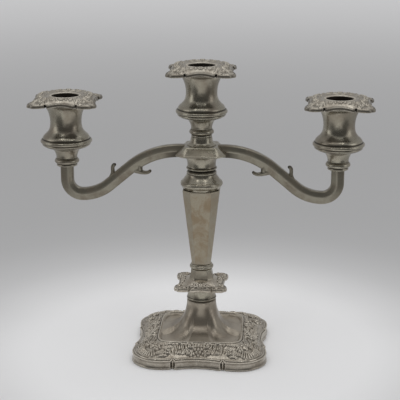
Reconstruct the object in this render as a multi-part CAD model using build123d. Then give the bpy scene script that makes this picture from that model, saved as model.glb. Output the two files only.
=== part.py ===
"""Three-light table candelabrum in plated nickel silver, in millimetres.

+Z is up, X runs along the arms and the origin is the middle of the base's underside.
From the bottom: a square scrolled base with an eight-sided foot, a small scrolled tray, a tapered
eight-sided column and a round socket. The three-light branch plugs into that socket. Each light has
a collar, a waisted cup on a flared foot, and a loose nozzle: a tube for the candle in a scrolled pan.
"""

from build123d import *
import math
import os

# driving dimensions
BASE_HALF = 54.6  # half the side of the square base
BASE_WAIST = 4.0  # how far the middle of each side of the base lies back
WALL_HEIGHT = 8.4  # upright wall round the base
CREST_HEIGHT = 16.2  # inner edge of the base's border, round the well
WELL_HALF = 33.0
WELL_FLOOR = 12.8
FOOT_TOP = 42.2
TRAY_HALF = 22.0
TRAY_TOP = 57.0
COLUMN_FOOT = 73.4
COLUMN_HEAD = 137.6
SOCKET_TOP = 153.0
BLOCK_FOOT = 166.8
BLOCK_TOP = 174.0
ARM_REACH = 110.1  # from the stem's axis to a side light's axis
ARM_HEIGHT = 168.7  # the arms' centre line where they leave the block
CENTRE_LIGHT = 180.6  # underside of the middle light's collar
SIDE_LIGHT = 155.0  # underside of a side light's collar, and top of an arm's end
PAN_HALF = 28.0
CANDLE_RADIUS = 11.0  # bore of a nozzle and of the stem's socket, for a 22 mm candle
PLUG_PLAY = 0.07  # the spigot's radial play in the socket
GAP = 0.3  # between pieces that lift or turn apart

# fasteners
ROD_RADIUS = 2.4
SCREW_RADIUS = 2.0
HOLE_PLAY = 0.2
WASHER = 0.7
TIE_WASHER = 1.0
TIE_NUT = 3.4
BRIDGE_TOP = 11.2  # the steel bridge's upper face, against the underside of the well's floor
BRIDGE_FOOT = 9.2

# sheet and casting thicknesses
BASE_WALL = 1.8
WELL_WALL = 1.6
COLUMN_WALL = 1.3
CUP_WALL = 0.8
TUBE_WALL = 0.45
PAN_WALL = 1.2

# one light, in heights above the underside of its collar
COLLAR_HEIGHT = 6.8
CUP_FLOOR = 15.7
CUP_BOTTOM = 1.1  # thickness of the cup's floor
CUP_LIP = 51.8
PAN_UNDER = CUP_LIP + GAP
PAN_TOP = 57.45
TUBE_FLOOR = 32.4
TUBE_LIP = 58.3

# how far each loose pan is turned from square, in degrees
PAN_TURNS = {"left": 1.0, "centre": 1.2, "right": -2.5}


def joined(runs, place):
    """A closed face. A run of two points is a line, of three an arc, and of more a smooth curve."""
    edges = []
    for run in runs:
        points = [place(*point) for point in run]
        if len(points) == 2:
            edges.append(Line(*points))
        elif len(points) == 3:
            edges.append(ThreePointArc(*points))
        else:
            edges.append(Spline(*points))
    first, last = place(*runs[0][0]), place(*runs[-1][-1])
    if (first - last).length > 1e-6:
        edges.append(Line(last, first))
    return make_face(edges)


def turned(*runs):
    """A solid of revolution about Z. The runs hold (radius, height) points."""
    return revolve(joined(runs, lambda r, z: Vector(r, 0, z)), Axis.Z)


def rod(radius, low, high):
    """A plain cylinder on Z."""
    return Pos(0, 0, low) * Cylinder(radius, high - low, align=(Align.CENTER, Align.CENTER, Align.MIN))


def octagon(half, cut, height):
    """A square of that half width with its corners cut off, lying at a height."""
    long, short = half, half - cut
    corners = [(long, short), (short, long), (-short, long), (-long, short)]
    corners += [(-x, -y) for x, y in corners]
    return Pos(0, 0, height) * make_face(Polyline(*corners, close=True))


def faceted(sections, cut_share, ruled=False):
    """An eight-sided solid through (half width, height) sections."""
    return loft([octagon(half, half * cut_share, z) for half, z in sections], ruled=ruled)


def scrolled_square(half, waist, inset=0.0):
    """The shaped outline shared by the base, the tray and the pans: four round corner lobes, and a
    hollow middle to each side between two small notches. waist is how far the middle lies back."""
    size = half - inset
    notch = 0.38 * half
    side_middle = size - waist
    lobe_start = (notch + 0.035 * half, size - 0.022 * half)
    lobe_crown = (0.61 * half, size)
    lobe_end = (0.80 * half, size - 0.055 * half)
    corner = size - 0.112 * half
    step = (notch, size - 0.065 * half)
    panel_end = (notch - 0.035 * half, size - 0.035 * half)
    quarter = [
        [(-panel_end[0], panel_end[1]), (0, side_middle), panel_end],
        [panel_end, step],
        [step, lobe_start],
        [lobe_start, lobe_crown, lobe_end],
        [lobe_end, (corner, corner), lobe_end[::-1]],
        [lobe_end[::-1], lobe_crown[::-1], lobe_start[::-1]],
        [lobe_start[::-1], step[::-1]],
        [step[::-1], panel_end[::-1]],
    ]
    runs = []
    for turn in range(4):
        angle = -math.pi / 2 * turn
        c, s = math.cos(angle), math.sin(angle)
        runs += [[(x * c - y * s, x * s + y * c) for x, y in run] for run in quarter]
    return joined(runs, lambda x, y: Vector(x, y, 0))


def prism(face, low, high):
    """Upright solid with a flat outline, from one height to another."""
    return Pos(0, 0, low) * extrude(face, high - low, dir=(0, 0, 1))


def arched(half, low, crown, edge, flat_share):
    """A four-sided low dome: flat out to flat_share of its half width, then falling to its edge."""
    reach = half * 1.3
    drop = (crown - edge) / (half - half * flat_share)
    foot = crown - drop * (reach - half * flat_share)
    profile = [
        (-reach, low), (-reach, foot), (-half * flat_share, crown),
        (half * flat_share, crown), (reach, foot), (reach, low),
    ]
    wire = Polyline(*[(x, 0, z) for x, z in profile], close=True)
    along_y = extrude(make_face(wire), reach, dir=(0, 1, 0), both=True)
    return along_y & (Rot(0, 0, 90) * along_y)


def base():
    """The scrolled base and its eight-sided foot, one hollow casting."""
    well_corner, foot_cut, flat_share = 7.0, 0.44, 0.62
    under = WELL_FLOOR - WELL_WALL
    foot = [(31.0, WELL_FLOOR), (22.0, 17.6), (16.6, 23.6), (14.0, 30.0), (12.7, 36.5), (12.0, FOOT_TOP)]
    form = prism(scrolled_square(BASE_HALF, BASE_WAIST), 0.4, 20)
    form &= arched(BASE_HALF, 0, CREST_HEIGHT, WALL_HEIGHT, flat_share)
    form -= prism(octagon(WELL_HALF, well_corner, 0), WELL_FLOOR, 20)
    form += faceted(foot, foot_cut)
    inside = prism(scrolled_square(BASE_HALF, BASE_WAIST, BASE_WALL), 0, 20)
    inside &= arched(BASE_HALF, -1, CREST_HEIGHT - BASE_WALL, WALL_HEIGHT - BASE_WALL, flat_share)
    inside -= prism(octagon(WELL_HALF + WELL_WALL, well_corner, 0), under, 20)
    hollow_foot = [(half - BASE_WALL, z) for half, z in foot[1:-1]]
    hollow_foot = [(27.0, under - 1.0)] + hollow_foot + [(10.4, FOOT_TOP - 2.5)]
    form -= inside + faceted(hollow_foot, foot_cut)
    return form - rod(ROD_RADIUS + HOLE_PLAY, 30, FOOT_TOP + 1)


def base_plate():
    """Thin plate that closes the base from below."""
    return prism(scrolled_square(BASE_HALF, BASE_WAIST, BASE_WALL + 0.1), 1.2, 2.4)


def baize():
    """Felt under the plate, which the candelabrum stands on."""
    return prism(scrolled_square(BASE_HALF, BASE_WAIST, BASE_WALL + 0.1), 0, 1.2)


def bridge():
    """Steel plate across the underside of the foot, which the rod's nut pulls against."""
    return prism(octagon(30, 9, 0), BRIDGE_FOOT, BRIDGE_TOP) - rod(ROD_RADIUS + HOLE_PLAY, 0, 20)


def tie_washer():
    """Washer between the bridge and the rod's nut."""
    return rod(6, BRIDGE_FOOT - TIE_WASHER, BRIDGE_FOOT) - rod(ROD_RADIUS + HOLE_PLAY, 0, 20)


def tie_nut():
    """Six-sided nut on the rod's lower end."""
    nut = Pos(0, 0, BRIDGE_FOOT - TIE_WASHER - TIE_NUT) * extrude(RegularPolygon(4.6, 6), TIE_NUT)
    return nut - rod(ROD_RADIUS, 0, 20)


def tie_rod():
    """Threaded rod that clamps foot, tray, column and socket together."""
    return rod(ROD_RADIUS, BRIDGE_FOOT - TIE_WASHER - TIE_NUT - 0.2, 130.6)


def foot_ring():
    """Waisted ring between the foot and the tray."""
    ring = turned(
        [(ROD_RADIUS + HOLE_PLAY, FOOT_TOP), (11.2, FOOT_TOP)],
        [(11.2, FOOT_TOP), (12.3, FOOT_TOP + 0.8)],
        [(12.3, FOOT_TOP + 0.8), (11.9, 44.4), (11.3, 47.5), (11.6, 52.0), (12.6, 54.6)],
        [(12.6, 54.6), (ROD_RADIUS + HOLE_PLAY, 54.6)],
    )
    return ring


def tray():
    """Small scrolled plate on the foot, like a pan with a solid middle."""
    form = prism(scrolled_square(TRAY_HALF, 3.0), 54.6, 60) & arched(TRAY_HALF, 50, TRAY_TOP, 56.2, 0.6)
    under = prism(scrolled_square(TRAY_HALF, 3.0, 1.2), 54, 55.6) - rod(13.0, 50, 60)
    return form - under - rod(ROD_RADIUS + HOLE_PLAY, 50, 60)


def stem_neck():
    """Eight-sided flared neck on the tray."""
    sections = [(13.2, TRAY_TOP), (10.6, 60.2), (9.1, 64.5), (8.4, 69.3)]
    return faceted(sections, 0.42) - rod(ROD_RADIUS + HOLE_PLAY, 50, 80)


def stem_bead():
    """Round bead under the column."""
    bore = ROD_RADIUS + HOLE_PLAY
    return turned(
        [(bore, 69.3), (8.2, 69.3)],
        [(8.2, 69.3), (9.9, 71.4), (8.2, COLUMN_FOOT)],
        [(8.2, COLUMN_FOOT), (bore, COLUMN_FOOT)],
    )


def column():
    """Tapered eight-sided tube, closed at its foot round the rod."""
    foot_half, head_half, cut = 7.7, 15.1, 0.42
    body = faceted([(foot_half, COLUMN_FOOT), (head_half, COLUMN_HEAD)], cut, ruled=True)
    slope = (head_half - foot_half) / (COLUMN_HEAD - COLUMN_FOOT)
    floor = COLUMN_FOOT + 2
    inner_foot = foot_half + slope * 2 - COLUMN_WALL
    hollow = faceted([(inner_foot, floor), (head_half - COLUMN_WALL, COLUMN_HEAD)], cut, ruled=True)
    return body - hollow - rod(ROD_RADIUS + HOLE_PLAY, 70, 80)


def stem_socket():
    """Round shoulder on the column, with the bore that takes the branch's plug or a candle."""
    floor, bore = 133.0, CANDLE_RADIUS
    return turned(
        [(bore, floor), (bore, SOCKET_TOP)],
        [(bore, SOCKET_TOP), (12.1, SOCKET_TOP)],
        [(12.1, SOCKET_TOP), (11.9, 151.6), (12.3, 149.6), (14.0, 146.7), (16.3, 144.6), (17.1, 143.6)],
        [(17.1, 143.6), (17.5, 142.0), (16.6, 140.2)],
        [(16.6, 140.2), (15.6, 138.9), (15.3, COLUMN_HEAD)],
        [(15.3, COLUMN_HEAD), (12.0, COLUMN_HEAD)],
        [(12.0, COLUMN_HEAD), (12.0, floor - 2)],
        [(12.0, floor - 2), (5.5, floor - 2)],
        [(5.5, floor - 2), (5.5, 123.0)],
        [(5.5, 123.0), (ROD_RADIUS, 123.0)],
        [(ROD_RADIUS, 123.0), (ROD_RADIUS, 130.8)],
        [(ROD_RADIUS, 130.8), (0, 130.8)],
        [(0, 130.8), (0, floor)],
        [(0, floor), (bore, floor)],
    )


TENON_RADIUS = 6.0
TENON_TOP = 169.6


def branch_plug():
    """Spigot and flared collar under the branch. A tenon on top carries the block."""
    seat = SOCKET_TOP + GAP
    top = BLOCK_FOOT - GAP
    spigot = CANDLE_RADIUS - PLUG_PLAY
    return turned(
        [(0, 135.6), (spigot - 1.2, 135.6)],
        [(spigot - 1.2, 135.6), (spigot, 136.8)],
        [(spigot, 136.8), (spigot, seat)],
        [(spigot, seat), (12.5, seat)],
        [(12.5, seat), (12.5, 154.6)],
        [(12.5, 154.6), (11.9, 157.0), (12.5, 159.6), (13.9, 162.6), (15.0, top)],
        [(15.0, top), (TENON_RADIUS, top)],
        [(TENON_RADIUS, top), (TENON_RADIUS, TENON_TOP)],
        [(TENON_RADIUS, TENON_TOP), (0, TENON_TOP)],
    )


ARM_INNER_END = 10.0
BEND_RADIUS = 12.3  # from the arm's upright end into its lowest stretch
SWEEP_RADIUS = 34.0  # from the lowest stretch up to the slope
CROWN_RADIUS = 62.0  # from the slope to the level end in the block
ARM_SLOPE = math.radians(40)
LOWEST = 131.2  # height of the centre line at its lowest


def arm_path():
    """Centre line of the right arm, from the block outwards: level, over the crown, down the slope,
    round the sweep and the bend, and up to the light."""
    c, s = math.cos(ARM_SLOPE), math.sin(ARM_SLOPE)
    bend_x = ARM_REACH - BEND_RADIUS
    slope_low = Vector(bend_x - SWEEP_RADIUS * s, 0, LOWEST + SWEEP_RADIUS * (1 - c))
    rise = ARM_HEIGHT - CROWN_RADIUS * (1 - c) - slope_low.Z
    slope_high = Vector(slope_low.X - rise * c / s, 0, slope_low.Z + rise)
    crown_x = slope_high.X - CROWN_RADIUS * s
    half = ARM_SLOPE / 2
    crown_mid = Vector(
        crown_x + CROWN_RADIUS * math.sin(half), 0, ARM_HEIGHT - CROWN_RADIUS * (1 - math.cos(half))
    )
    sweep_mid = Vector(
        bend_x - SWEEP_RADIUS * math.sin(half), 0, LOWEST + SWEEP_RADIUS * (1 - math.cos(half))
    )
    diagonal = BEND_RADIUS * math.sqrt(0.5)
    bend_mid = Vector(bend_x + diagonal, 0, LOWEST + BEND_RADIUS - diagonal)
    crown = Vector(crown_x, 0, ARM_HEIGHT)
    lowest = Vector(bend_x, 0, LOWEST)
    upright = Vector(ARM_REACH, 0, LOWEST + BEND_RADIUS)
    return Wire(
        [
            Line(Vector(ARM_INNER_END, 0, ARM_HEIGHT), crown),
            ThreePointArc(crown, crown_mid, slope_high),
            Line(slope_high, slope_low),
            ThreePointArc(slope_low, sweep_mid, lowest),
            ThreePointArc(lowest, bend_mid, upright),
            Line(upright, Vector(ARM_REACH, 0, SIDE_LIGHT)),
        ]
    )


def spur(outline, thickness):
    """A flat leaf hook in the arms' plane. The outline holds (x, z) runs."""
    face = joined(outline, lambda x, z: Vector(x, 0, z))
    return extrude(face, thickness / 2, dir=(0, 1, 0), both=True)


def right_arm():
    """Six-sided S-shaped bar with a ridge along each side, a hook above it and one below it."""
    ridge, above, below = 4.5, 5.2, 5.3
    ridge_height, flat_top, flat_foot = 0.9, 2.6, 2.2
    plug_room = 16.2
    section = [
        (-flat_top, above), (flat_top, above), (ridge, ridge_height),
        (flat_foot, -below), (-flat_foot, -below), (-ridge, ridge_height),
    ]
    start = Plane(origin=(ARM_INNER_END, 0, ARM_HEIGHT), x_dir=(0, 1, 0), z_dir=(1, 0, 0))
    bar = sweep(start * make_face(Polyline(*section, close=True)), path=arm_path())
    upper = spur(
        [
            [(71.0, 145.5), (71.6, 149.4)],
            [(71.6, 149.4), (72.9, 152.6), (71.9, 155.4)],
            [(71.9, 155.4), (73.6, 157.2), (75.8, 155.0)],
            [(75.8, 155.0), (76.3, 151.6), (75.9, 148.0)],
            [(75.9, 148.0), (77.0, 142.5)],
        ],
        4.2,
    )
    lower = spur(
        [
            [(56.0, 154.5), (53.4, 151.0)],
            [(53.4, 151.0), (46.6, 148.6), (41.2, 151.2)],
            [(41.2, 151.2), (41.1, 152.6), (42.4, 152.3)],
            [(42.4, 152.3), (47.6, 153.6), (45.4, 158.8)],
            [(45.4, 158.8), (48.0, 160.5)],
        ],
        4.2,
    )
    arm = bar + upper + lower
    arm -= rod(plug_room, 150, BLOCK_FOOT)
    return arm - Pos(ARM_REACH, 0, 0) * rod(SCREW_RADIUS, 141.5, 160)


def hub_block(arms):
    """Sloping eight-sided block that the arms are let into."""
    block = loft([octagon(20.3, 6.4, BLOCK_FOOT), octagon(12.6, 3.6, BLOCK_TOP)], ruled=True)
    block -= rod(TENON_RADIUS + 0.06, BLOCK_FOOT - 1, TENON_TOP + GAP)
    block -= rod(SCREW_RADIUS, TENON_TOP, BLOCK_TOP + 1)
    for arm in arms:
        block -= arm
    return block


def centre_post():
    """Short round post between the block and the middle light."""
    bore = SCREW_RADIUS + HOLE_PLAY
    return turned(
        [(bore, BLOCK_TOP), (9.5, BLOCK_TOP)],
        [(9.5, BLOCK_TOP), (9.4, 174.9), (8.9, 176.2), (8.6, 178.4), (8.4, CENTRE_LIGHT)],
        [(8.4, CENTRE_LIGHT), (bore, CENTRE_LIGHT)],
    )


def collar(low):
    """Double ring under a light."""
    bore = SCREW_RADIUS + HOLE_PLAY
    top = low + COLLAR_HEIGHT
    return turned(
        [(bore, low), (7.9, low)],
        [(7.9, low), (8.5, low + 0.8), (8.1, low + 1.7)],
        [(8.1, low + 1.7), (8.7, low + 2.2)],
        [(8.7, low + 2.2), (9.95, low + 4.4), (8.7, top)],
        [(8.7, top), (bore, top)],
    )


def cup_foot(low):
    """Flared foot of a cup."""
    bore = SCREW_RADIUS + HOLE_PLAY
    foot, top = low + COLLAR_HEIGHT, low + CUP_FLOOR
    return turned(
        [(bore, foot), (8.5, foot)],
        [(8.5, foot), (8.6, foot + 1.8), (9.1, foot + 3.6), (10.2, foot + 6.2), (12.4, top)],
        [(12.4, top), (bore, top)],
    )


def cup(low):
    """Waisted sheet cup with a beaded foot rim and a rolled lip."""
    bore = SCREW_RADIUS + HOLE_PLAY
    floor, lip = low + CUP_FLOOR, low + CUP_LIP
    waist = low + 36.2
    wall = CUP_WALL
    bead_top = low + 23.4
    body = [
        (17.5, lip - 1.2), (15.2, lip - 5.0), (13.4, lip - 9.6), (12.66, waist), (13.0, waist - 3.8),
        (14.6, waist - 7.4), (17.9, waist - 10.6), (19.8, bead_top),
    ]
    inner = [(r - wall, z - (0.3 if r > 16 else 0)) for r, z in body]
    return turned(
        [(bore, floor), (15.0, floor + 0.3)],
        [(15.0, floor + 0.3), (20.9, floor + 4.2), (20.1, bead_top - 0.2)],
        [(20.1, bead_top - 0.2), (19.8, bead_top)],
        body[::-1],
        [(17.5, lip - 1.2), (18.3, lip - 0.6), (17.6, lip)],
        [(17.6, lip), (16.65, lip)],
        [(16.65, lip), inner[0]],
        inner,
        [inner[-1], (19.9, floor + 4.4), (14.6, floor + CUP_BOTTOM)],
        [(14.6, floor + CUP_BOTTOM), (bore, floor + CUP_BOTTOM)],
    )


def nozzle_tube(low):
    """Cup-shaped tube that holds the candle, with a rolled lip at its mouth."""
    inner, outer = CANDLE_RADIUS, CANDLE_RADIUS + TUBE_WALL
    floor, lip = low + TUBE_FLOOR, low + TUBE_LIP
    seat = low + PAN_TOP + 0.1
    return turned(
        [(0, floor), (outer, floor)],
        [(outer, floor), (outer, seat)],
        [(outer, seat), (12.7, seat)],
        [(12.7, seat), (12.6, lip), (inner, lip - 0.15)],
        [(inner, lip - 0.15), (inner, floor + 0.8)],
        [(inner, floor + 0.8), (0, floor + 0.8)],
    )


def pan(low, turn):
    """Scrolled drip pan: stamped sheet with an upright rim, and a ring below that sits on the cup."""
    under, top = low + PAN_UNDER, low + PAN_TOP
    form = prism(scrolled_square(PAN_HALF, 3.6), under, top + 4)
    form &= arched(PAN_HALF, under - 1, top, top - 1.6, 0.62)
    hollow = prism(scrolled_square(PAN_HALF, 3.6, PAN_WALL), under - 1, top)
    hollow &= arched(PAN_HALF, under - 2, top - PAN_WALL, top - 1.6 - PAN_WALL, 0.62)
    seat_ring = rod(18.4, under, top) - rod(17.0, under - 1, top)
    form -= hollow - seat_ring
    form -= rod(CANDLE_RADIUS + TUBE_WALL + 0.08, under - 1, top + 1)
    return Rot(0, 0, turn) * form


def cup_screw(low):
    """Screw that holds a cup, its foot and its collar down."""
    seat = low + CUP_FLOOR + CUP_BOTTOM + WASHER
    shank = rod(SCREW_RADIUS, low - 10.0, seat)
    return shank + rod(4.0, seat, seat + 2.2) - Pos(0, 0, seat + 1.9) * Box(9, 1.0, 1.4)


def cup_washer(low):
    """Washer between a cup's floor and its screw's head."""
    seat = low + CUP_FLOOR + CUP_BOTTOM
    return rod(5.5, seat, seat + WASHER) - rod(SCREW_RADIUS + HOLE_PLAY, seat - 1, seat + 2)


LIGHTS = {"left": (-ARM_REACH, SIDE_LIGHT), "centre": (0, CENTRE_LIGHT), "right": (ARM_REACH, SIDE_LIGHT)}


def at_light(side, made):
    """The pieces of one light, moved over to that light's axis."""
    return Pos(LIGHTS[side][0], 0, 0) * made


def main():
    """Write every piece to its own file."""
    arm = right_arm()
    other_arm = mirror(arm, about=Plane.YZ)
    nodes = {
        "base": base(),
        "base_plate": base_plate(),
        "baize": baize(),
        "bridge": bridge(),
        "tie_washer": tie_washer(),
        "tie_nut": tie_nut(),
        "tie_rod": tie_rod(),
        "foot_ring": foot_ring(),
        "tray": tray(),
        "stem_neck": stem_neck(),
        "stem_bead": stem_bead(),
        "column": column(),
        "stem_socket": stem_socket(),
        "branch_plug": branch_plug(),
        "right_arm": arm,
        "left_arm": other_arm,
        "hub_block": hub_block([arm, other_arm]),
        "centre_post": centre_post(),
    }
    for side, (_, low) in LIGHTS.items():
        nodes[f"{side}_collar"] = at_light(side, collar(low))
        nodes[f"{side}_cup_foot"] = at_light(side, cup_foot(low))
        nodes[f"{side}_cup"] = at_light(side, cup(low))
        nodes[f"{side}_nozzle_tube"] = at_light(side, nozzle_tube(low))
        nodes[f"{side}_pan"] = at_light(side, pan(low, PAN_TURNS[side]))
    nodes["cup_screws"] = Compound([at_light(side, cup_screw(low)) for side, (_, low) in LIGHTS.items()])
    nodes["cup_washers"] = Compound([at_light(side, cup_washer(low)) for side, (_, low) in LIGHTS.items()])
    os.makedirs("parts", exist_ok=True)
    for name, shape in nodes.items():
        export_step(shape, f"parts/{name}.step")


main()
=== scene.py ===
import bpy
import math
import numpy as np
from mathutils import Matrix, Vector


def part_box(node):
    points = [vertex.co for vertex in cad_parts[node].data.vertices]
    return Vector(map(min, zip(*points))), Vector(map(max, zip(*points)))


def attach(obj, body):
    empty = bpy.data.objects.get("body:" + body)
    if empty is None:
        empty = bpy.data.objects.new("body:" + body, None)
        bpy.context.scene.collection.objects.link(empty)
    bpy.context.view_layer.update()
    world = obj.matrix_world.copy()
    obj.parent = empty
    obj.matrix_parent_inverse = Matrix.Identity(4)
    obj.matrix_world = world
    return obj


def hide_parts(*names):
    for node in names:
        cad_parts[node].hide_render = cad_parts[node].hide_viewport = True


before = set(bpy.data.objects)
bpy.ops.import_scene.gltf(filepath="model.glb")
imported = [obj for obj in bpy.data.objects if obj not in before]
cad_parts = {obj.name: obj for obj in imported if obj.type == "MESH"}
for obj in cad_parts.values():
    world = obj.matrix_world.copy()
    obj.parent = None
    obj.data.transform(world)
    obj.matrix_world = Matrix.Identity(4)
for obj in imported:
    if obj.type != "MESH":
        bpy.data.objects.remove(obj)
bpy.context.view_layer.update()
mm = 0.001
lights = ("left", "centre", "right")
print("frame loaded:", len(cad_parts), "nodes")


def lowOf(node):
    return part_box(node)[0].z / mm  # a node's lowest height, in millimetres


def highOf(node):
    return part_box(node)[1].z / mm  # its greatest height


def axisOf(node):
    # the middle of the node's plan
    low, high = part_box(node)
    return (low.x + high.x) / 2 / mm, (low.y + high.y) / 2 / mm


# lines and surfaces, all in millimetres until they become a mesh

def smoothLine(points, count=24):
    # cubic Hermite spline: each slope is the mean of the chords either side, measured along the chord
    p = np.asarray(points, float)
    t = np.concatenate([[0], np.cumsum(np.linalg.norm(np.diff(p, axis=0), axis=1))])
    slope = np.gradient(p, t, axis=0)
    s = np.linspace(0, t[-1], count * (len(p) - 1) + 1)
    k = np.clip(np.searchsorted(t, s, side="right") - 1, 0, len(p) - 2)
    span = (t[k + 1] - t[k])[:, None]
    f = (s - t[k])[:, None] / span
    return (
        (2 * f**3 - 3 * f**2 + 1) * p[k] + (f**3 - 2 * f**2 + f) * span * slope[k]
        + (3 * f**2 - 2 * f**3) * p[k + 1] + (f**3 - f**2) * span * slope[k + 1]
    )


def evenLine(points, step, closed=False):
    # the same line with its points a constant distance apart
    p = np.asarray(points, float)
    if closed:
        p = np.vstack([p, p[:1]])
    t = np.concatenate([[0], np.cumsum(np.linalg.norm(np.diff(p, axis=0), axis=1))])
    n = max(3, int(round(t[-1] / step)))
    s = np.linspace(0, t[-1], n, endpoint=False) if closed else np.linspace(0, t[-1], n + 1)
    return np.stack([np.interp(s, t, p[:, k]) for k in range(p.shape[1])], 1)


def softened(p, reach):
    # a running mean round a closed line, over 2 * reach + 1 points, which rounds each corner
    return sum(np.roll(p, k, 0) for k in range(-reach, reach + 1)) / (2 * reach + 1)


def profileOf(path, step):
    # a closed line. The path starts at a point, and each further item is a point to go straight to, or a list of
    # points that a spline goes through
    line, last = [[path[0]]], path[0]
    for item in path[1:]:
        curved = isinstance(item, list)
        line.append(smoothLine([last] + item) if curved else [item])
        last = item[-1] if curved else item
    line = np.vstack(line)
    keep = np.concatenate([[True], np.linalg.norm(np.diff(line, axis=0), axis=1) > 1e-6])
    return softened(evenLine(line[keep], step, closed=True), 1)


def wave(x, y, z, size):
    # a smooth, repeatable unevenness between about -1 and 1, made of crossed sine waves
    k = 2 * math.pi / size
    return (
        np.sin(k * (x + 0.37 * y)) * np.sin(k * (0.81 * z - 0.4 * x) + 1.3)
        + np.sin(k * (0.63 * y - 0.7 * z) + 0.7) * np.sin(k * 1.7 * (x + z) + 2.1) * 0.6
    ) / 1.6


def linked(name, data):
    # an object with that data, in the scene
    obj = bpy.data.objects.new(name, data)
    bpy.context.scene.collection.objects.link(obj)
    return obj


def surfaceMesh(name, grid, closed=True, flip=False, paintedLightAndWear=0.0):
    # grid[i, j] is a point for row i (along) and column j (around). The ends of a surface that is not closed along
    # get a flat cap. The hollow attribute is 0.5, plus gain times how far the mean of the neighbours stands out of
    # the surface over their distance, plus the painted light and wear given for each point: a rise paints shade, a
    # fall paints highlight and wear
    rows, cols = grid.shape[:2]
    gain, leastSpacing = 1.6, 0.15

    def neighbour(axis, step):
        # every point's neighbour, step rows or columns away
        if closed or axis == 1:
            return np.roll(grid, -step, axis)
        return grid[np.clip(np.arange(rows) + step, 0, rows - 1)]

    normal = np.cross(neighbour(1, 1) - neighbour(1, -1), neighbour(0, 1) - neighbour(0, -1))
    normal /= np.maximum(np.linalg.norm(normal, axis=2, keepdims=True), 1e-12)
    if flip:
        normal = -normal
    near = [neighbour(axis, sign * k) - grid for axis in (0, 1) for sign in (-1, 1) for k in (1, 2)]
    spacing = sum(np.linalg.norm(a, axis=2) for a in near) / len(near) + leastSpacing
    lift = (sum(near) / len(near) * normal).sum(2)
    # painted shade and painted highlight enter the colour here, with wear
    hollow = np.clip(0.5 + gain * lift / spacing + paintedLightAndWear, 0, 1)

    i = np.arange(rows if closed else rows - 1)[:, None]
    j = np.arange(cols)[None, :]
    a = i * cols + j
    b = i * cols + (j + 1) % cols
    c = ((i + 1) % rows) * cols + (j + 1) % cols
    d = ((i + 1) % rows) * cols + j
    quads = np.stack([a, d, c, b] if flip else [a, b, c, d], 2).reshape(-1, 4)
    first, last = np.arange(cols), (rows - 1) * cols + np.arange(cols)
    caps = [] if closed else [first, last[::-1]] if flip else [first[::-1], last]
    totals = np.array([4] * len(quads) + [cols] * len(caps))
    loops = np.concatenate([quads.ravel()] + caps)
    mesh = bpy.data.meshes.new(name)
    mesh.vertices.add(rows * cols)
    mesh.vertices.foreach_set("co", (grid.reshape(-1, 3) * mm).astype(np.float32).ravel())
    mesh.loops.add(len(loops))
    mesh.loops.foreach_set("vertex_index", loops.astype(np.int32))
    mesh.polygons.add(len(totals))
    mesh.polygons.foreach_set("loop_start", (np.cumsum(totals) - totals).astype(np.int32))
    mesh.polygons.foreach_set("loop_total", totals.astype(np.int32))
    mesh.update(calc_edges=True)
    mesh.polygons.foreach_set("use_smooth", np.arange(len(totals)) < len(quads))
    attribute = mesh.attributes.new("hollow", "FLOAT", "POINT")
    attribute.data.foreach_set("value", hollow.astype(np.float32).ravel())
    return linked(name, mesh)


def joined(name, pieces):
    # one object out of several
    bpy.ops.object.select_all(action="DESELECT")
    for piece in pieces:
        piece.select_set(True)
    bpy.context.view_layer.objects.active = pieces[0]
    bpy.ops.object.join()
    pieces[0].name = name
    return pieces[0]


def finished(piece, body, nodes, material):
    # the piece gets its material, the body it rides, and the nodes it stands for
    piece.data.materials.clear()
    piece.data.materials.append(material)
    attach(piece, body)
    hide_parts(*nodes)


# materials

def newGroup(name, inputs, outputs):
    # an empty node group. inputs: name and start value, whose form gives the socket's kind. outputs: name and kind
    group = bpy.data.node_groups.new(name, "ShaderNodeTree")
    for label, value in inputs.items():
        kind = "Vector" if value is None else "Color" if isinstance(value, tuple) else "Float"
        entry = group.interface.new_socket(label, in_out="INPUT", socket_type="NodeSocket" + kind)
        if value is not None:
            entry.default_value = value
    for label, kind in outputs.items():
        group.interface.new_socket(label, in_out="OUTPUT", socket_type="NodeSocket" + kind)
    return group, group.nodes.new("NodeGroupInput").outputs, group.nodes.new("NodeGroupOutput")


def feed(tree, node, inputs):
    # a socket is linked, and anything else becomes the input's own value
    for key, value in inputs.items():
        if isinstance(value, bpy.types.NodeSocket):
            tree.links.new(value, node.inputs[key])
        else:
            node.inputs[key].default_value = value


def addNode(tree, kind, inputs=None, **settings):
    # a node with its settings and its inputs
    node = tree.nodes.new(kind)
    for key, value in settings.items():
        setattr(node, key, value)
    feed(tree, node, inputs or {})
    return node


def newMaterial(name):
    # a material with its node tree and its shader
    material = bpy.data.materials.new(name)
    material.use_nodes = True
    return material, material.node_tree, material.node_tree.nodes["Principled BSDF"]


def mixColour(tree, factor, a, b):
    # a * (1 - factor) + b * factor
    return addNode(tree, "ShaderNodeMix", {0: factor, 6: a, 7: b}, data_type="RGBA").outputs[2]


def maths(tree, operation, a, b, clamp=False):
    # the operation's result for a and b
    return addNode(tree, "ShaderNodeMath", {0: a, 1: b}, operation=operation, use_clamp=clamp).outputs[0]


def ranged(tree, value, low, high, outLow=0.0, outHigh=1.0):
    # outLow at low, outHigh at high, straight between them, and level beyond them
    ends = {"Value": value, "From Min": low, "From Max": high, "To Min": outLow, "To Max": outHigh}
    return addNode(tree, "ShaderNodeMapRange", ends).outputs[0]


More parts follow.
